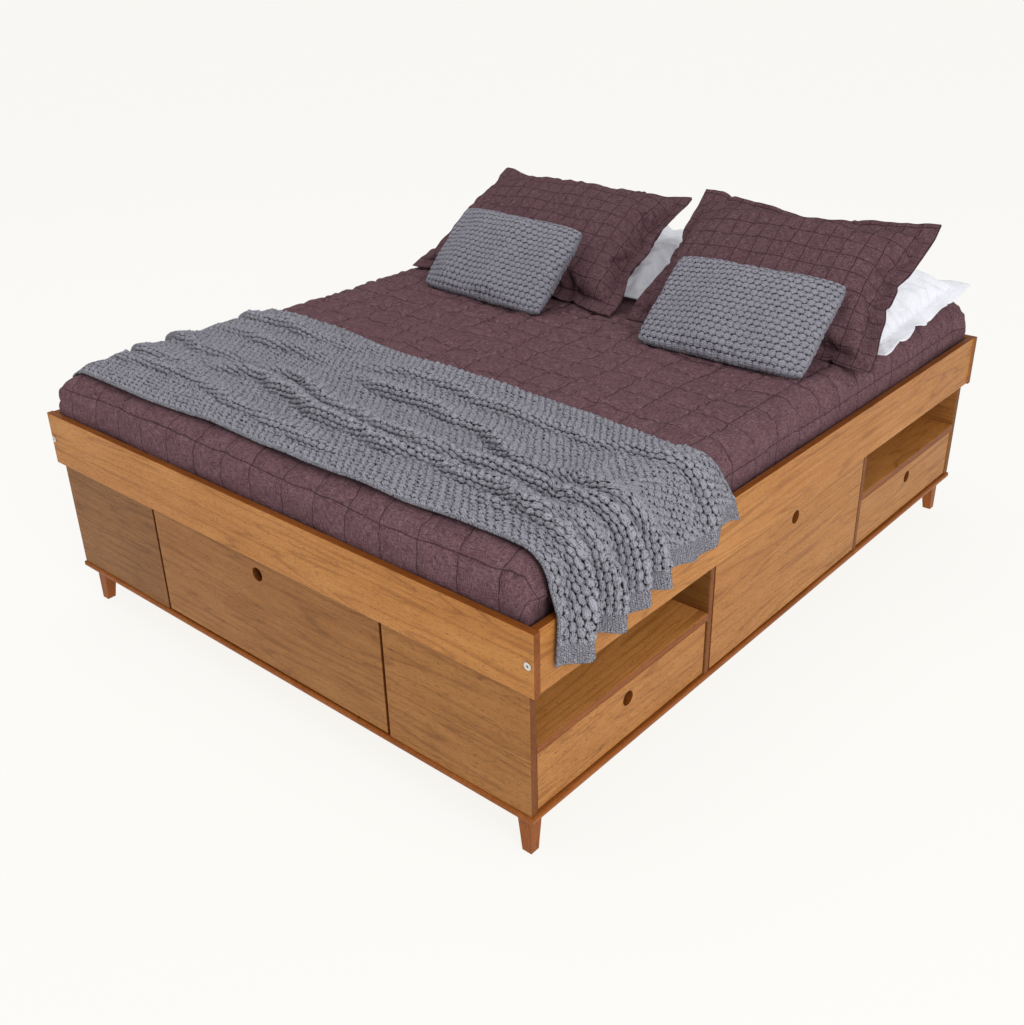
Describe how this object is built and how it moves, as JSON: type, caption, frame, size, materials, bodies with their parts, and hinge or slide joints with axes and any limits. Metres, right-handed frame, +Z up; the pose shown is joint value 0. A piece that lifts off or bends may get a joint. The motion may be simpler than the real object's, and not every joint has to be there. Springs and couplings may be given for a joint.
{
  "type": "platform bed with storage drawers",
  "caption": "Wooden platform bed with drawers, open niches and drop-down flaps under the aprons, dressed with mattress, quilt, throw and pillows",
  "frame": {"origin": "on the floor under the middle of the bed's wooden frame; the throw hangs 18 mm past the frame on the right, so the whole box's middle is 9 mm to the right", "axes": "+X to the right-hand long side with the throw, +Y to the head end, +Z up"},
  "size_m": [1.693, 2.056, 0.9669],
  "materials": {
    "oiled_wood": "satin oiled hardwood, honey brown",
    "dark_wood": "satin oiled hardwood, reddish end grain and edges",
    "plain_wood": "plain planed pine",
    "zinc": "zinc plated",
    "white_plastic": "moulded",
    "ticking": "woven mattress ticking",
    "plum_linen": "linen weave with a darker check",
    "white_cotton": "washed cotton",
    "grey_knit": "chunky cotton knit"
  },
  "bodies": {
    "root": {"foot_apron": "oiled_wood", "head_apron": "oiled_wood", "right_apron": "oiled_wood", "left_apron": "oiled_wood", "ledger_strips": "plain_wood", "centre_beam": "plain_wood", "slats": "plain_wood", "apron_bolts": "zinc", "barrel_nuts": "zinc", "centre_supports": "plain_wood", "legs": "dark_wood", "plinth_foot_right": "dark_wood", "plinth_foot_left": "dark_wood", "plinth_head_right": "dark_wood", "plinth_head_left": "dark_wood", "plinth_foot": "dark_wood", "plinth_head": "dark_wood", "plinth_right": "dark_wood", "plinth_left": "dark_wood", "end_panel_foot_right": "oiled_wood", "end_panel_foot_left": "oiled_wood", "end_panel_head_right": "oiled_wood", "end_panel_head_left": "oiled_wood", "divider_foot_right": "oiled_wood", "divider_foot_left": "oiled_wood", "divider_head_right": "oiled_wood", "divider_head_left": "oiled_wood", "shelf_foot_right": "oiled_wood", "shelf_foot_left": "oiled_wood", "shelf_head_right": "oiled_wood", "shelf_head_left": "oiled_wood", "module_back_foot_right": "dark_wood", "module_back_foot_left": "dark_wood", "module_back_head_right": "dark_wood", "module_back_head_left": "dark_wood", "drawer_runners": "plain_wood", "flap_pins": "zinc", "flap_catches": "white_plastic", "head_panel": "oiled_wood", "mattress": "ticking", "quilt": "plum_linen", "sham_right": "plum_linen", "sham_left": "plum_linen", "pillow_right": "white_cotton", "pillow_left": "white_cotton", "cushion_right": "grey_knit", "cushion_left": "grey_knit", "throw": "grey_knit"},
    "drawer_foot_right": {"drawer_front_foot_right": "oiled_wood", "drawer_box_foot_right": "plain_wood"},
    "drawer_foot_left": {"drawer_front_foot_left": "oiled_wood", "drawer_box_foot_left": "plain_wood"},
    "drawer_head_right": {"drawer_front_head_right": "oiled_wood", "drawer_box_head_right": "plain_wood"},
    "drawer_head_left": {"drawer_front_head_left": "oiled_wood", "drawer_box_head_left": "plain_wood"},
    "foot_flap": {"flap_foot": "oiled_wood"},
    "right_flap": {"flap_right": "oiled_wood"},
    "left_flap": {"flap_left": "oiled_wood"}
  },
  "joints": [
    {"name": "drawer_slide_foot_right", "type": "slide", "parent": "root", "child": "drawer_foot_right", "axis": [1, 0, 0], "range_m": [0, 0.28]},
    {"name": "drawer_slide_foot_left", "type": "slide", "parent": "root", "child": "drawer_foot_left", "axis": [-1, 0, 0], "range_m": [0, 0.28]},
    {"name": "drawer_slide_head_right", "type": "slide", "parent": "root", "child": "drawer_head_right", "axis": [1, 0, 0], "range_m": [0, 0.28]},
    {"name": "drawer_slide_head_left", "type": "slide", "parent": "root", "child": "drawer_head_left", "axis": [-1, 0, 0], "range_m": [0, 0.28]},
    {"name": "foot_flap_hinge", "type": "hinge", "parent": "root", "child": "foot_flap", "pos_m": [0, -1.0055, 0.1345], "axis": [1, 0, 0], "range_deg": [0, 90]},
    {"name": "right_flap_hinge", "type": "hinge", "parent": "root", "child": "right_flap", "pos_m": [0.808, 0, 0.1345], "axis": [0, 1, 0], "range_deg": [0, 90]},
    {"name": "left_flap_hinge", "type": "hinge", "parent": "root", "child": "left_flap", "pos_m": [-0.808, 0, 0.1345], "axis": [0, -1, 0], "range_deg": [0, 90]}
  ]
}
